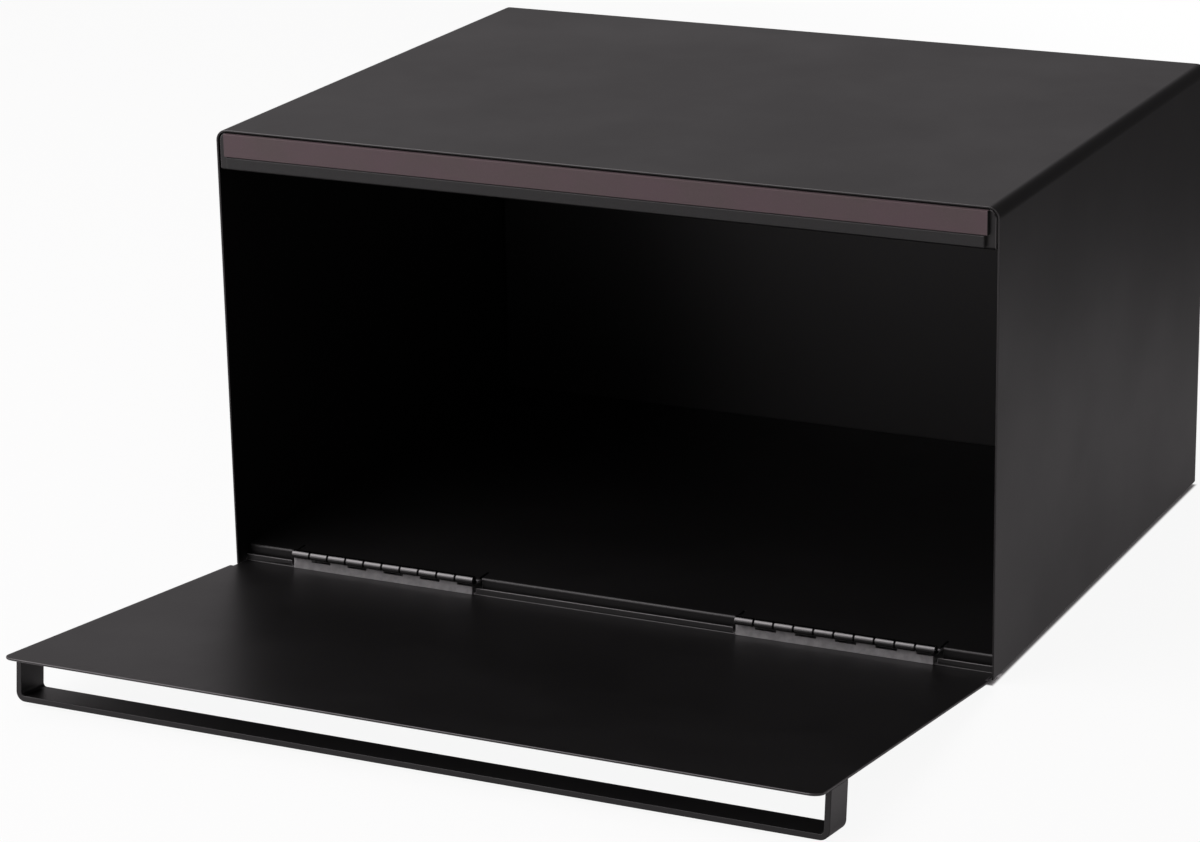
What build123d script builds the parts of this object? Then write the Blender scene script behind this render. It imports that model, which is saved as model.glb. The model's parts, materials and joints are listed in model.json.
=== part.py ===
from build123d import *
import os
from math import acos, atan2, degrees, hypot

os.makedirs("parts", exist_ok=True)

# Steel bread box with a drop-down front door, shown with the door open and resting on its handle.
# All sizes are in millimetres. X runs to the right, Y to the back and Z up from the table.
# The origin is the centre of the body's base rectangle, on the table.

# Body
body_width = 430.0
body_depth = 327.0
wall_height = 240.0
sheet = 1.2
top_bend = 6.0
bottom_bend = 1.6
return_width = 15.0
return_setback = 14.0

# Feet
foot_thickness = 1.5
foot_radius = 6.0
foot_edge = 0.5
foot_inset_x = 8.0
foot_inset_y = 32.0

# Back panel
back_flange = 8.0
back_bend = 2.0
corner_clearance = 0.3

# Floor panel
floor_rise = 9.4
floor_setback = 10.4
floor_lip = 6.0
floor_bend = 1.4
floor_corner = 1.8
slot_length = 9.5
slot_width = 1.5

# Header rail above the opening
header_height = 20.3
header_top_depth = 15.0
header_return = 8.0
header_bend = 1.8
header_recess = 0.3
header_end_gap = 0.8

# Magnet strip and bumper strip on the header rail
magnet_side_gap = 4.3
magnet_height = 12.0
magnet_thickness = 2.5
magnet_top_gap = 0.6
magnet_edge = 0.3
bumper_side_gap = 5.8
bumper_height = 6.0
bumper_thickness = 2.8
bumper_gap = 0.2
bumper_edge = 0.6

# Hinges
hinge_length = 109.0
hinge_side_distance = 30.8
knuckle_count = 10
knuckle_radius = 2.3
knuckle_gap = 0.6
knuckle_edge = 0.4
leaf_thickness = 1.0
pin_clearance = 0.05
pin_end_gap = 0.2
pin_edge = 0.4
hinge_inset = 5.4
box_leaf_width = 19.0
leaf_notch_gap = 1.6
door_leaf_end_gap = 2.3

# Door
door_side_inset = 0.0
door_top_gap = 2.5
door_seat_gap = 0.3
door_corner = 6.0
door_shoulder_corner = 1.0
door_bend = 1.8
tongue_length = 14.9
tongue_side_gap = 0.8
flange_length = 3.7
relief_width = 1.8
relief_end = 0.4
leaf_plate_gap = 0.15
leaf_chamfer = 0.5

# Handle
handle_width = 20.0
handle_thickness = 3.0
handle_standoff = 24.0
handle_bend = 5.0
handle_edge = 0.4
handle_edge_distance = 13.0

# Worked out from the sizes above
front = -body_depth / 2
rear = body_depth / 2
top = foot_thickness + wall_height
inner_width = body_width - 2 * sheet
ceiling = top - sheet
return_top = foot_thickness + sheet
floor_top = foot_thickness + floor_rise
bore_radius = knuckle_radius - leaf_thickness
axis_y = front + hinge_inset
axis_z = floor_top - sheet - leaf_thickness + knuckle_radius
hinge_centre_x = inner_width / 2 - hinge_side_distance - hinge_length / 2
knuckle_pitch = hinge_length / knuckle_count
header_front = front + header_recess
magnet_length = inner_width - 2 * magnet_side_gap
magnet_top = ceiling - magnet_top_gap
bumper_length = inner_width - 2 * bumper_side_gap
bumper_top = magnet_top - magnet_height - bumper_gap
door_width = body_width - 2 * door_side_inset
door_inner = header_front - max(magnet_thickness, bumper_thickness) - door_seat_gap
door_outer = door_inner - sheet
door_top = top - door_top_gap
flange_top = axis_z - knuckle_radius
flange_bottom = flange_top - sheet
plate_bottom = flange_bottom + tongue_length
tongue_width = inner_width - 2 * tongue_side_gap
door_leaf_width = axis_y - door_inner - leaf_plate_gap
handle_outer = door_outer - handle_standoff
handle_top = door_top - handle_edge_distance
handle_bottom = handle_top - handle_width
hinge_line = Axis((0, axis_y, axis_z), (1, 0, 0))


def door_swing():
    """Degrees from the closed door down to the handle's rounded edge on the table."""
    edge_y = handle_outer + handle_edge - axis_y
    edge_z = handle_bottom + handle_edge - axis_z
    reach = hypot(edge_y, edge_z)
    return degrees(atan2(edge_y, edge_z) + acos((handle_edge - axis_z) / reach))


def block(x, y, z):
    """A plain block between the low and high values of each pair."""
    size = Box(x[1] - x[0], y[1] - y[0], z[1] - z[0])
    return Pos((x[0] + x[1]) / 2, (y[0] + y[1]) / 2, (z[0] + z[1]) / 2) * size


def folded_section(corners, bend, thickness):
    """Section of a folded strip: the corner points are on its outer face, the metal on their right."""
    outer_line = FilletPolyline(*corners, radius=bend)
    return make_face(offset(outer_line, amount=thickness, side=Side.RIGHT, closed=True))


def across(section, width):
    """A section drawn in Y and Z, run across the box and centred on it."""
    return extrude(Plane.YZ.offset(-width / 2) * section, width)


def tray(width, length, height, bend, corner):
    """A plate with its top face at Z = 0 and its four edges turned down."""
    outside = extrude(RectangleRounded(width, length, corner), -height)
    outside = fillet(outside.edges().group_by(Axis.Z)[-1], bend)
    hollow = RectangleRounded(width - 2 * sheet, length - 2 * sheet, corner - sheet)
    inside = extrude(Pos(0, 0, -sheet) * hollow, sheet - height)
    inside = fillet(inside.edges().group_by(Axis.Z)[-1], bend - sheet)
    return outside - inside


def strip(length, height, thickness, strip_top, edge):
    """A flexible strip stuck on the header rail's face, with its front edges eased."""
    body = block((-length / 2, length / 2), (header_front - thickness, header_front), (strip_top - height, strip_top))
    return fillet(body.edges().group_by(Axis.Y)[0], edge)


# Shell: both sides and the top from one sheet, with its bottom edges returned inwards
def make_shell():
    half = body_width / 2
    corners = [
        (return_width - half, foot_thickness),
        (-half, foot_thickness),
        (-half, top),
        (half, top),
        (half, foot_thickness),
        (half - return_width, foot_thickness),
    ]
    bends = [bottom_bend, top_bend, top_bend, bottom_bend]
    section = folded_section(corners, bends, sheet)
    wrap = extrude(Plane.XZ.offset(-front) * section, -body_depth)
    setback = block(
        (-inner_width / 2, inner_width / 2),
        (front - sheet, front + return_setback),
        (0, foot_thickness + bottom_bend),
    )
    return wrap - setback


# Back panel: a plate set in from the shell's rear edge, with its flanges pointing back
def make_back_panel():
    corner = top_bend - sheet + corner_clearance
    plate = tray(inner_width, ceiling - return_top, back_flange, back_bend, corner)
    return Pos(0, rear - back_flange, (ceiling + return_top) / 2) * Rot(90, 0, 0) * plate


# Floor panel: over each hinge leaf, between two slots, its front edge stays flat instead of turning down
def make_floor_panel():
    floor_front = front + floor_setback
    floor_rear = rear - back_flange
    plate = tray(inner_width, floor_rear - floor_front, floor_lip, floor_bend, floor_corner)
    plate = Pos(0, (floor_front + floor_rear) / 2, floor_top) * plate
    half_tab = hinge_length / 2
    for side in (-1, 1):
        middle = side * hinge_centre_x
        plate -= block(
            (middle - half_tab - slot_width, middle + half_tab + slot_width),
            (floor_front - sheet, floor_front + slot_length),
            (floor_top - floor_lip - sheet, floor_top + sheet),
        )
        plate += block(
            (middle - half_tab, middle + half_tab),
            (floor_front, floor_front + slot_length),
            (floor_top - sheet, floor_top),
        )
    return plate


# Header rail: a channel under the top sheet, its upper corners rounded to follow the shell's bends
def make_header_rail():
    corners = [
        (header_front + header_top_depth, ceiling),
        (header_front, ceiling),
        (header_front, ceiling - header_height),
        (header_front + header_return, ceiling - header_height),
    ]
    rail_width = inner_width - 2 * header_end_gap
    rail = across(folded_section(corners[::-1], header_bend, sheet), rail_width)
    inner_bend = top_bend - sheet
    outline = RectangleRounded(rail_width, 2 * header_height + 2 * inner_bend, inner_bend)
    outline = Pos(0, ceiling - header_height - inner_bend) * outline
    envelope = extrude(Plane.XZ.offset(-header_front) * outline, -header_top_depth)
    return rail & envelope


def make_magnet_strip():
    return strip(magnet_length, magnet_height, magnet_thickness, magnet_top, magnet_edge)


def make_bumper_strip():
    return strip(bumper_length, bumper_height, bumper_thickness, bumper_top, bumper_edge)


def relief(middle):
    """A round-ended slot from the flange's free edge, beside the end of a hinge leaf."""
    far = door_inner + flange_length + sheet
    near = door_inner + door_bend - sheet + relief_end + relief_width / 2
    level = (flange_bottom - sheet, flange_top + sheet)
    slot = block((middle - relief_width / 2, middle + relief_width / 2), (near, far), level)
    end = extrude(Circle(relief_width / 2), level[1] - level[0])
    return slot + Pos(middle, near, level[0]) * end


# Door, modelled closed: a plate over the shell's front edges, and a tongue with a flange for the hinges
def make_door_panel():
    plate_height = door_top - plate_bottom
    plate = extrude(Plane.XZ.offset(-door_inner) * Rectangle(door_width, plate_height), sheet)
    plate = Pos(0, 0, (door_top + plate_bottom) / 2) * plate
    upright = plate.edges().filter_by(Axis.Y)
    plate = fillet(upright.group_by(Axis.Z)[-1], door_corner)
    lower = plate.edges().filter_by(Axis.Y).group_by(Axis.Z)[0]
    plate = fillet(lower, door_shoulder_corner)
    corners = [
        (door_outer, plate_bottom + door_shoulder_corner),
        (door_outer, flange_bottom),
        (door_inner + flange_length, flange_bottom),
    ]
    tongue = across(folded_section(corners[::-1], door_bend, sheet), tongue_width)
    for side in (-1, 1):
        leaf_left = side * hinge_centre_x - hinge_length / 2
        leaf_right = leaf_left + hinge_length - door_leaf_end_gap
        tongue -= relief(leaf_left - relief_width / 2)
        tongue -= relief(leaf_right + relief_width / 2)
    return plate + tongue


# Handle, modelled closed: one flat bar bent to a wide U and welded to the door's outer face
def make_handle():
    half = door_width / 2
    corners = [
        (half, door_outer),
        (half, handle_outer),
        (-half, handle_outer),
        (-half, door_outer),
    ]
    section = folded_section(corners, handle_bend, handle_thickness)
    bar = extrude(Pos(0, 0, handle_bottom) * section, handle_width)
    rims = bar.edges().group_by(Axis.Z)
    return fillet(rims[0] + rims[-1], handle_edge)


def knuckle(start):
    """One rolled knuckle on the hinge line, from its left end."""
    length = knuckle_pitch - knuckle_gap
    ring = extrude(Circle(knuckle_radius), length)
    ring = fillet(ring.edges(), knuckle_edge)
    ring -= extrude(Circle(bore_radius), length)
    return Pos(start + knuckle_gap / 2, axis_y, axis_z) * Rot(0, 90, 0) * ring


def make_leaf(middle, reach, first, left_gap, right_gap):
    """A hinge leaf, flat, from the hinge line to its far edge, with every second knuckle from the first."""
    start = middle - hinge_length / 2
    low_z = axis_z - knuckle_radius
    leaf = block(
        (start + left_gap, start + hinge_length - right_gap),
        (min(axis_y, axis_y + reach), max(axis_y, axis_y + reach)),
        (low_z, low_z + leaf_thickness),
    )
    far_edge = leaf.edges().filter_by(Axis.X).sort_by(Axis.Z)[:2].sort_by(Axis.Y)[0 if reach < 0 else -1]
    leaf = chamfer(far_edge, leaf_chamfer)
    notch = knuckle_radius + leaf_notch_gap
    for index in range(1 - first, knuckle_count, 2):
        left = start + index * knuckle_pitch
        leaf -= block(
            (left - knuckle_gap / 2, left + knuckle_pitch + knuckle_gap / 2),
            (axis_y - notch, axis_y + notch),
            (low_z - leaf_thickness, low_z + 2 * leaf_thickness),
        )
    for index in range(first, knuckle_count, 2):
        leaf += knuckle(start + index * knuckle_pitch)
    return leaf


def make_pin(middle):
    length = hinge_length - 2 * pin_end_gap
    pin = chamfer(Cylinder(bore_radius - pin_clearance, length).edges(), pin_edge)
    return Pos(middle, axis_y, axis_z) * Rot(0, 90, 0) * pin


def make_foot(side, end):
    pad = extrude(Circle(foot_radius), foot_thickness)
    pad = fillet(pad.edges().group_by(Axis.Z)[0], foot_edge)
    return Pos(side * (body_width / 2 - foot_inset_x), end * (body_depth / 2 - foot_inset_y), 0) * pad


def opened(part):
    """Turn a piece of the closed door down to where its handle rests on the table."""
    return part.rotate(hinge_line, door_swing())


nodes = {
    "shell": make_shell(),
    "back_panel": make_back_panel(),
    "floor_panel": make_floor_panel(),
    "header_rail": make_header_rail(),
    "magnet_strip": make_magnet_strip(),
    "bumper_strip": make_bumper_strip(),
    "door_panel": opened(make_door_panel()),
    "handle": opened(make_handle()),
}
for hand, side in (("left", -1), ("right", 1)):
    middle = side * hinge_centre_x
    nodes[f"{hand}_hinge_door_leaf"] = opened(make_leaf(middle, -door_leaf_width, 0, 0, door_leaf_end_gap))
    nodes[f"{hand}_hinge_box_leaf"] = make_leaf(middle, box_leaf_width, 1, 0, 0)
    nodes[f"{hand}_hinge_pin"] = make_pin(middle)
    nodes[f"front_{hand}_foot"] = make_foot(side, -1)
    nodes[f"rear_{hand}_foot"] = make_foot(side, 1)

for name, part in nodes.items():
    export_step(part, f"parts/{name}.step")

print("hinge line at y", round(axis_y, 3), "z", round(axis_z, 3))
print("door swing from rest to closed", round(door_swing(), 3), "degrees")
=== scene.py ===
import json
from math import radians

import bpy
from mathutils import Matrix, Vector
from mathutils.bvhtree import BVHTree


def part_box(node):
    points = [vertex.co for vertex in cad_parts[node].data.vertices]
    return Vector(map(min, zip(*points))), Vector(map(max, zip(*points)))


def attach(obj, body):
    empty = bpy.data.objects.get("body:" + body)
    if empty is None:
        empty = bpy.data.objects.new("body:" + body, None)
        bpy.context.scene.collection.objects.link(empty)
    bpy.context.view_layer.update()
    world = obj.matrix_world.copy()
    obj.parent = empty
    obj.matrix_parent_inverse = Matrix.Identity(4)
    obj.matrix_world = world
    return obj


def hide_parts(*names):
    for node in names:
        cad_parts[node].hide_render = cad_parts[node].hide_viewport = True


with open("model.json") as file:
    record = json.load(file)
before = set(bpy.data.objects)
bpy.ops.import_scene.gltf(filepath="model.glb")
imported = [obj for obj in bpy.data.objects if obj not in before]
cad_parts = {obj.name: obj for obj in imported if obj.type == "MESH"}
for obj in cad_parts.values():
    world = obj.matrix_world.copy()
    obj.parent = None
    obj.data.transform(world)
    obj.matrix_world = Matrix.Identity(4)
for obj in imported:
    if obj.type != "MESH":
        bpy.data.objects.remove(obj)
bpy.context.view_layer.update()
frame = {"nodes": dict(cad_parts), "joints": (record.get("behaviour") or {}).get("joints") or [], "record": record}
nodes = frame["nodes"]
bpy.ops.object.select_all(action="DESELECT")

# Powder coat: how light its colour is, how rough and how shiny
COAT_BASE, COAT_ROUGH, COAT_SHINE = 0.0045, 0.42, 0.45

# The same on the raw edges of the door and the header rail, and on those of the shell, whose lighter colours are
# painted highlights along the edges
EDGE_HIGHLIGHT_BASE, EDGE_ROUGH, EDGE_SHINE = 0.045, 0.40, 0.8
SHELL_EDGE_HIGHLIGHT_BASE, SHELL_EDGE_ROUGH, SHELL_EDGE_SHINE = 0.012, 0.35, 0.65

# Eased raw edges: their radius in metres, the least angle of such an edge, and the gap that merges in metres
SHEET_EASE, EASE_ANGLE, MERGE_GAP = 0.0004, radians(40), 0.000001

# How far a bevel may move a point off the metal, as a share of the radius, and how sharp a shaded edge is
STRAY_SHARE, SMOOTH_ANGLE = 0.6, radians(50)

# Blackened steel: lighter and partly metallic on the hinges' flat leaves, that lighter grey being partly the
# steel's own finish and partly painted light on their faces, dark and shiny on their knuckles
LEAF_STEEL_AND_LIGHT, LEAF_ROUGH, LEAF_METAL = 0.30, 0.50, 0.35
KNUCKLE_STEEL, KNUCKLE_ROUGH = 0.09, 0.24

# The hinges' pin line, and how far from it the knuckles' finish ends and the leaves' begins, in metres
PIN_Y, PIN_Z = frame["joints"][0]["pos_m"][1:]
KNUCKLE_END, LEAF_START = 0.0024, 0.0030

# Browns of the magnet strip, the black painted as shade on its cut ends, and how far in from the ends that black
# begins and is full, in metres
MAGNET_BROWN, MAGNET_RED_BROWN = (0.082, 0.058, 0.060, 1.0), (0.090, 0.057, 0.066, 1.0)
MAGNET_SPECK = (0.110, 0.080, 0.086, 1.0)
END_SHADE_BLACK, END_SHADE_START, END_SHADE_END = 0.004, 0.0003, 0.0001

# Greys of the bumper strip and of the foot pads
BUMPER_BASE = 0.009
FOOT_DARK, FOOT_LIGHT = 0.014, 0.024

# The floor plane's width and its place under the feet, in metres, and its grey near the box and the darker grey
# far behind to the right, which is painted shade
FLOOR_WIDTH, FLOOR_Z = 12, -0.0002
FLOOR_NEAR, FLOOR_FAR_SHADE = 0.86, 0.2

# The floor's painted shade darkens it behind to the right, from here to there in metres of X + Y
SHADE_START, SHADE_END = 0.35, 1.2

# How white the floor is where it is seen, and how brightly it glows as painted light in gloss, all round and at
# the front left
FLOOR_SEEN, FLOOR_GLOSS_GLOW, FLOOR_FRONT_GLOW = 0.92, 0.18, 0.9

# Where that front left part begins and is full, in the floor's X and Y
FRONT_FLOOR_X, FRONT_FLOOR_Y = (-0.12, -0.45), (-0.3, -0.6)

# The floor glows only from here on past the shell's sides, and past its front and back, in metres
BESIDE_START, BESIDE_END = -0.001, 0.001
BEYOND_START, BEYOND_END = 0.001, 0.003

# The world's light on matte surfaces, and for gloss its dark part, its pale front left and its grey back left
WORLD_LIT = 0.33
WORLD_DARK, WORLD_FRONT, WORLD_BACK = 0.08, 1.8, 0.42

# Where these parts begin and are full, in the X, Y and Z of a direction
FRONT_X, FRONT_Y = (-0.10, -0.50), (0.0, -0.5)
BACK_X, BACK_Z = (0.05, -0.35), (-0.1, 0.2)

# The colour of the studio's light
STUDIO_TINT = (1.0, 0.945, 0.97)

# A large soft box up to the front left: its place, its aim and its size in metres, and its power in watts
LAMP_PLACE, LAMP_AIM, LAMP_SIZE, LAMP_POWER = (-1.1, -1.0, 1.75), (0, -0.15, 0.1), (2.2, 1.8), 36

# The camera at the photograph's angle
IMAGE_WIDTH, FOCAL_PIXELS, SENSOR_WIDTH = 1200, 3940.3, 36
CAMERA_PLACE, CAMERA_REACH = (0.8286, -1.8662, 0.7197), 50
AZIMUTH, ELEVATION, ROLL = radians(25.872), radians(17.870), radians(-1.075)


class Value:
    """One output of a node, which takes part in arithmetic and adds the Math nodes for it."""

    def __init__(self, coat, socket):
        self.coat = coat
        self.socket = socket

    def math(self, operation, *others):
        return self.coat.node("ShaderNodeMath", {"operation": operation}, dict(enumerate((self,) + others)))

    def after(self, operation, first):
        return self.coat.node("ShaderNodeMath", {"operation": operation}, {0: first, 1: self})

    def __add__(self, other):
        return self.math("ADD", other)

    def __radd__(self, other):
        return self.after("ADD", other)

    def __sub__(self, other):
        return self.math("SUBTRACT", other)

    def __rsub__(self, other):
        return self.after("SUBTRACT", other)

    def __mul__(self, other):
        return self.math("MULTIPLY", other)

    def __rmul__(self, other):
        return self.after("MULTIPLY", other)

    def __abs__(self):
        return self.math("ABSOLUTE")

    def root(self):
        return self.math("SQRT")

    def either(self, other):
        return self.math("MAXIMUM", other)


class Finish:
    """A material or a world built from nodes, with its pattern on the object's own coordinates in metres."""

    def __init__(self, name, owners=bpy.data.materials):
        self.owner = owners.new(name)
        self.owner.use_nodes = True
        self.tree = self.owner.node_tree
        self.tree.nodes.clear()

    def node(self, kind, settings={}, inputs={}, out=0):
        """Adds a node: its settings first, then its sockets' values or links. Gives one output."""
        made = self.tree.nodes.new(kind)
        for key, value in settings.items():
            setattr(made, key, value)
        for key, value in inputs.items():
            if isinstance(value, Value):
                self.tree.links.new(value.socket, made.inputs[key])
            else:
                made.inputs[key].default_value = value
        return None if out is None else Value(self, made.outputs[out])

    def place(self, kind="Object"):
        return self.node("ShaderNodeTexCoord", out=kind)

    def axes(self, letters, kind="Object"):
        """The coordinates of these letters, each a value of its own."""
        return [
            self.node("ShaderNodeSeparateXYZ", {}, {0: self.place(kind)}, out=letter)
            for letter in letters]

    def grain(self, size, detail=2.0, rough=0.5, stretch=None, seed=0.0):
        """Even noise about 0.5, with features of this size in metres."""
        place = self.place()
        if stretch:
            place = self.node("ShaderNodeMapping", {}, {"Vector": place, "Scale": (stretch, 1.0, 1.0)})
        return self.node("ShaderNodeTexNoise", {"noise_dimensions": "4D"}, {
            "Vector": place, "W": seed, "Scale": 1 / size, "Detail": detail, "Roughness": rough})

    def between(self, value, low, high, start=0.0, end=1.0):
        """Smoothly maps low to high onto start to end."""
        return self.node("ShaderNodeMapRange", {"interpolation_type": "SMOOTHSTEP"}, {
            "Value": value, "From Min": low, "From Max": high, "To Min": start, "To Max": end})

    def blend(self, share, first, second):
        """A colour from first to second by share."""
        return self.node("ShaderNodeMix", {"data_type": "RGBA"}, {0: share, 6: first, 7: second}, out=2)

    def bump(self, height, depth, strength):
        return self.node("ShaderNodeBump", {}, {"Strength": strength, "Distance": depth, "Height": height})

    def surface(self, **sockets):
        """Ends the material in one Principled shader."""
        names = {key.replace("_", " ").title().replace("Ior", "IOR"): value for key, value in sockets.items()}
        return self.end(self.node("ShaderNodeBsdfPrincipled", {}, names))

    def end(self, shader, kind="ShaderNodeOutputMaterial"):
        self.node(kind, {}, {"Surface": shader}, out=None)
        return self.owner


def grey(value, tint=(1.0, 1.0, 1.0)):
    return (value * tint[0], value * tint[1], value * tint[2], 1.0)


# Finishes
def powder_coat(name, base, rough, shine, seed=0.0):
    """Fine matte black powder coat: orange peel, small specks and a faint uneven sheen."""
    coat = Finish(name)
    peel = coat.grain(size=0.0016, detail=3.0, rough=0.55, seed=seed)
    speck = coat.grain(size=0.0005, detail=1.0, seed=seed + 3)
    cloud = coat.grain(size=0.09, detail=3.0, rough=0.6, seed=seed + 7)
    tone = coat.between(cloud, 0.3, 0.7)
    darker, lighter = grey(base * 0.9, (1.0, 0.95, 0.97)), grey(base * 1.1, (1.0, 0.96, 0.98))
    colour = coat.blend(tone, darker, lighter)
    colour = coat.blend(coat.between(speck, 0.55, 0.75) * 0.3, colour, grey(base * 2.2))
    return coat.surface(
        base_color=colour,
        roughness=coat.between(cloud, 0.25, 0.75, rough - 0.03, rough + 0.03) + (speck - 0.5) * 0.08,
        specular_ior_level=shine,
        normal=coat.bump(peel * 0.7 + speck * 0.3, depth=0.00006, strength=0.6),
    )


def satin_steel(name):
    """Blackened satin steel with fine lengthwise rolling lines and cloudy dark patches."""
    coat = Finish(name)
    lines = coat.grain(size=0.0005, detail=3.0, rough=0.6, stretch=0.06)
    cloud = coat.grain(size=0.004, seed=5)
    y, z = coat.axes("YZ")
    off_axis = ((y - PIN_Y) * (y - PIN_Y) + (z - PIN_Z) * (z - PIN_Z)).root()
    flat = coat.between(off_axis, KNUCKLE_END, LEAF_START)
    # The leaves' lighter grey: partly the steel's own finish, partly painted light
    darker, lighter = grey(LEAF_STEEL_AND_LIGHT * 0.85), grey(LEAF_STEEL_AND_LIGHT * 1.15, (1.0, 0.99, 1.0))
    leaf = coat.blend(coat.between(cloud, 0.3, 0.7), darker, lighter)
    rough = flat * (LEAF_ROUGH - KNUCKLE_ROUGH) + KNUCKLE_ROUGH
    return coat.surface(
        base_color=coat.blend(flat, grey(KNUCKLE_STEEL), leaf),
        metallic=1 - flat * (1 - LEAF_METAL),
        roughness=rough + coat.between(lines, 0.3, 0.7, -0.05, 0.05),
        normal=coat.bump(lines, depth=0.00004, strength=0.6),
    )


def magnet_rubber(name):
    """Brown ferrite-filled rubber, finely streaked along its length, with black painted as shade on its cut ends.
    """
    coat = Finish(name)
    along = coat.grain(size=0.0008, stretch=0.12)
    speck = coat.grain(size=0.0007, rough=0.6, seed=4)
    cloud = coat.grain(size=0.03, detail=3.0, rough=0.6, seed=9)
    colour = coat.blend(coat.between(cloud, 0.3, 0.7), MAGNET_BROWN, MAGNET_RED_BROWN)
    colour = coat.blend(coat.between(speck, 0.45, 0.7) * 0.5, colour, MAGNET_SPECK)
    _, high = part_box("magnet_strip")
    x, = coat.axes("X")
    # Painted shade: the cut ends are coloured black
    end_shade = coat.between(abs(x), high[0] - END_SHADE_START, high[0] - END_SHADE_END)
    return coat.surface(
        base_color=coat.blend(end_shade, colour, grey(END_SHADE_BLACK)),
        roughness=coat.between(speck, 0.3, 0.7, 0.55, 0.70),
        normal=coat.bump(along * 0.6 + speck * 0.4, depth=0.00008, strength=0.5),
    )


def soft_strip(name):
    """Dark soft strip with faint lengthwise lines."""
    coat = Finish(name)
    along = coat.grain(size=0.0010, stretch=0.02)
    speck = coat.grain(size=0.0006, rough=0.6, seed=2)
    darker, lighter = grey(BUMPER_BASE, (0.96, 1.0, 1.0)), grey(BUMPER_BASE * 1.3)
    return coat.surface(
        base_color=coat.blend(coat.between(speck, 0.35, 0.7), darker, lighter),
        roughness=coat.between(speck, 0.3, 0.7, 0.60, 0.75),
        normal=coat.bump(along * 0.7 + speck * 0.3, depth=0.00006, strength=0.5),
    )


def foot_rubber(name):
    """Black pad rubber with a pebbled face."""
    coat = Finish(name)
    pebble = coat.grain(size=0.0009)
    return coat.surface(
        base_color=coat.blend(coat.between(pebble, 0.35, 0.65), grey(FOOT_DARK), grey(FOOT_LIGHT)),
        roughness=coat.between(pebble, 0.3, 0.7, 0.65, 0.8),
        normal=coat.bump(pebble, depth=0.0001, strength=0.6),
    )


finishes = {
    "painted_steel": powder_coat("painted_steel", COAT_BASE, COAT_ROUGH, COAT_SHINE),
    "hinge_steel": satin_steel("hinge_steel"),
    "flexible_magnet": magnet_rubber("flexible_magnet"),
    "bumper_rubber": soft_strip("bumper_rubber"),
    "foot_rubber": foot_rubber("foot_rubber"),
}
# Lighter coats for the eased edges: painted highlights along the raw edges
edge_highlight_coat = powder_coat("painted_steel_edge_highlight", EDGE_HIGHLIGHT_BASE, EDGE_ROUGH, EDGE_SHINE, seed=20.0)
shell_edge_highlight = powder_coat("shell_edge_highlight", SHELL_EDGE_HIGHLIGHT_BASE, SHELL_EDGE_ROUGH, SHELL_EDGE_SHINE, seed=30.0)
slots = {entry["node"]: entry["material_slot"] for entry in frame["record"]["subparts"]}
bodies = {name: body for body, names in frame["record"]["behaviour"]["bodies"].items() for name in names}
for name, node in nodes.items():
    node.data.materials.clear()
    node.data.materials.append(finishes[slots[name]])


# Pieces with eased edges
def only(piece):
    """Makes this the one selected object."""
    bpy.ops.object.select_all(action="DESELECT")
    piece.select_set(True)
    bpy.context.view_layer.objects.active = piece


def finish_with(piece, kind, **settings):
    """Adds a modifier and applies it."""
    modifier = piece.modifiers.new(kind.lower(), kind)
    for key, value in settings.items():
        setattr(modifier, key, value)
    bpy.ops.object.modifier_apply(modifier=modifier.name)


def eased(name, edge, radius=SHEET_EASE):
    """A copy of a node with its raw edges rounded and given a lighter coat that paints a highlight on them, and no
    point off the node's metal.
    """
    piece = bpy.data.objects.new(f"{name}_eased", nodes[name].data.copy())
    bpy.context.scene.collection.objects.link(piece)
    only(piece)
    bpy.ops.mesh.customdata_custom_splitnormals_clear()
    bpy.ops.object.mode_set(mode="EDIT")
    bpy.ops.mesh.select_all(action="SELECT")
    bpy.ops.mesh.remove_doubles(threshold=MERGE_GAP)
    bpy.ops.object.mode_set(mode="OBJECT")
    piece.data.materials.append(edge)
    finish_with(piece, "BEVEL", width=radius, segments=3, limit_method="ANGLE", angle_limit=EASE_ANGLE,
                use_clamp_overlap=False, material=1)
    metal = BVHTree.FromObject(nodes[name], bpy.context.evaluated_depsgraph_get())
    for point in piece.data.vertices:
        near, _, _, distance = metal.find_nearest(point.co)
        if distance > radius * STRAY_SHARE:
            point.co = near
    bpy.ops.object.shade_smooth_by_angle(angle=SMOOTH_ANGLE)
    finish_with(piece, "WEIGHTED_NORMAL", weight=100, keep_sharp=True)
    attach(piece, bodies[name])
    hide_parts(name)


eased("shell", shell_edge_highlight)
eased("header_rail", edge_highlight_coat)
eased("door_panel", edge_highlight_coat)
bpy.ops.object.select_all(action="DESELECT")


# Floor and studio
def light_paths(coat):
    """Where the camera or glass looks, and where gloss looks."""
    camera, glossy, glass = (
        coat.node("ShaderNodeLightPath", out=name)
        for name in ("Is Camera Ray", "Is Glossy Ray", "Is Transmission Ray"))
    return camera.either(glass), glossy


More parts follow.
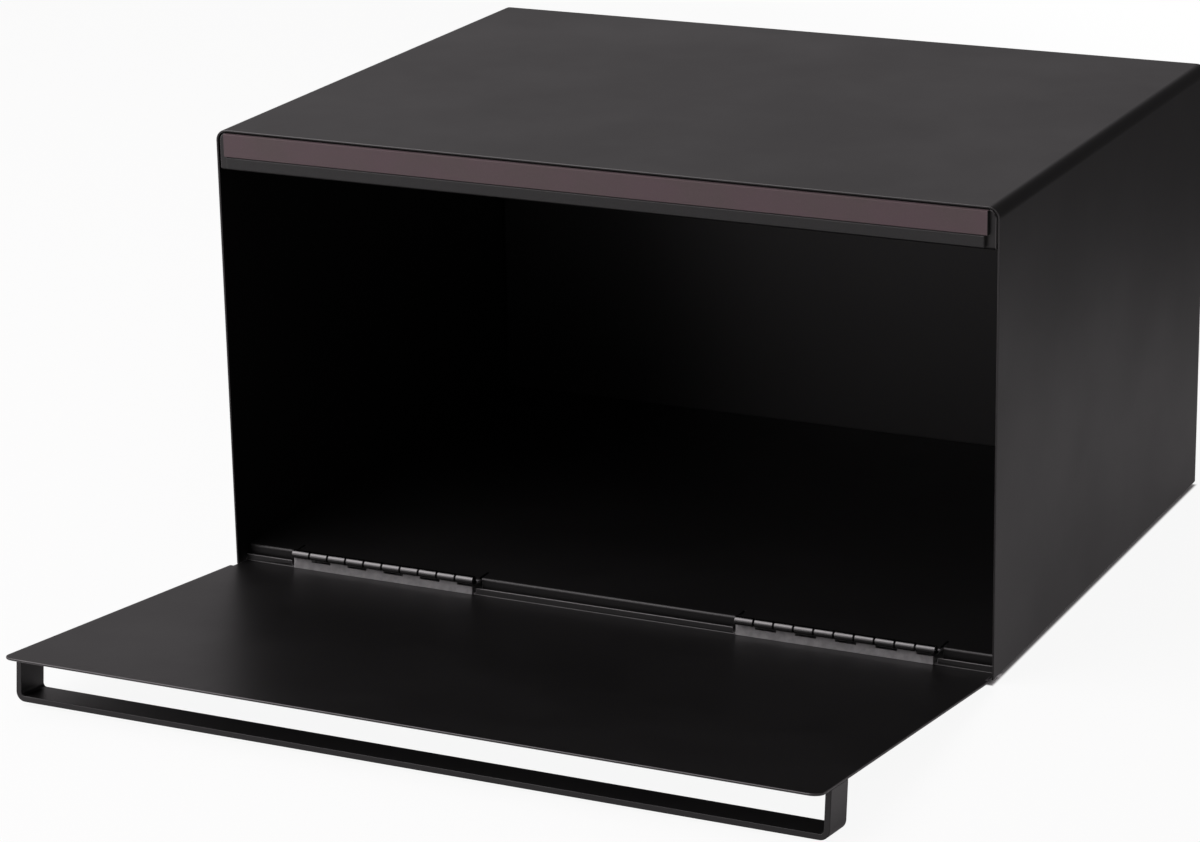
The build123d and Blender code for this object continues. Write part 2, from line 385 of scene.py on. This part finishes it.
def pale_floor():
    """Pale matte floor: white where it is seen, dark under the box, with painted shade that darkens its colour and
    its glow in gloss far behind to the right, and in gloss a painted glow at the front left.
    """
    coat = Finish("studio_floor")
    _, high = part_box("shell")
    x, y = coat.axes("XY")
    beside = coat.between(abs(x), high[0] + BESIDE_START, high[0] + BESIDE_END)
    beyond = coat.between(abs(y), high[1] + BEYOND_START, high[1] + BEYOND_END)
    # Painted shade: the floor's grey darkens far behind to the right
    far = coat.between(x + y, SHADE_START, SHADE_END)
    pale = coat.blend(far, grey(FLOOR_NEAR), grey(FLOOR_FAR_SHADE))
    matte = coat.node("ShaderNodeBsdfDiffuse", {}, {"Color": pale})
    # Painted light: in gloss the floor glows, brightest at the front left and dimming behind to the right
    front = coat.between(y, *FRONT_FLOOR_Y) * coat.between(x, *FRONT_FLOOR_X)
    gloss = (1 - far) * FLOOR_GLOSS_GLOW + front * (FLOOR_FRONT_GLOW - FLOOR_GLOSS_GLOW)
    seen, glossy = light_paths(coat)
    glow = coat.node("ShaderNodeEmission", {}, {
        "Color": coat.blend(seen, grey(1.0, STUDIO_TINT), grey(1.0)), "Strength": 1.0})
    share = (seen * (far * (1 - FLOOR_SEEN) + FLOOR_SEEN)).either(glossy * gloss)
    share = share * beside.either(beyond)
    return coat.end(coat.node("ShaderNodeMixShader", {}, {0: share, 1: matte, 2: glow}))


bpy.ops.mesh.primitive_plane_add(size=FLOOR_WIDTH, location=(0, 0, FLOOR_Z))
floor = bpy.context.object
floor.name = "studio_floor"
bpy.ops.object.transform_apply(location=True, rotation=True, scale=True)
floor.data.materials.append(pale_floor())


def studio_world():
    """White where it is seen, even on matte surfaces, and for gloss pale at the front left and back left."""
    coat = Finish("studio", bpy.data.worlds)
    x, y, z = coat.axes("XYZ", kind="Generated")
    front = coat.between(y, *FRONT_Y) * coat.between(x, *FRONT_X) * WORLD_FRONT
    back = coat.between(x, *BACK_X) * coat.between(z, *BACK_Z) * WORLD_BACK
    gloss = front.either(back).either(WORLD_DARK)
    seen, glossy = light_paths(coat)
    strength = seen * (1 - WORLD_LIT) + glossy * (gloss - WORLD_LIT) + WORLD_LIT
    tone = coat.blend(seen, grey(1.0, STUDIO_TINT), grey(1.0))
    light = coat.node("ShaderNodeBackground", {}, {"Color": tone, "Strength": strength})
    return coat.end(light, "ShaderNodeOutputWorld")


bpy.context.scene.world = studio_world()

# Lamp
soft_box = bpy.data.lights.new("front_softbox", "AREA")
soft_box.shape = "RECTANGLE"
soft_box.size, soft_box.size_y = LAMP_SIZE
soft_box.energy = LAMP_POWER
soft_box.color = STUDIO_TINT
lamp = bpy.data.objects.new("front_softbox", soft_box)
bpy.context.scene.collection.objects.link(lamp)
lamp.location = LAMP_PLACE
lamp.rotation_euler = (Vector(LAMP_AIM) - Vector(LAMP_PLACE)).to_track_quat("-Z", "Y").to_euler()
lamp.visible_camera = False

# Camera
camera = bpy.data.objects.new("camera", bpy.data.cameras.new("camera"))
bpy.context.scene.collection.objects.link(camera)
camera.data.sensor_width = SENSOR_WIDTH
camera.data.lens = FOCAL_PIXELS / IMAGE_WIDTH * SENSOR_WIDTH
camera.data.clip_end = CAMERA_REACH
camera.matrix_world = (
    Matrix.Translation(CAMERA_PLACE)
    @ Matrix.Rotation(AZIMUTH, 4, "Z")
    @ Matrix.Rotation(radians(90) - ELEVATION, 4, "X")
    @ Matrix.Rotation(ROLL, 4, "Z")
)
bpy.context.scene.camera = camera
bpy.context.scene.view_settings.view_transform = "Standard"
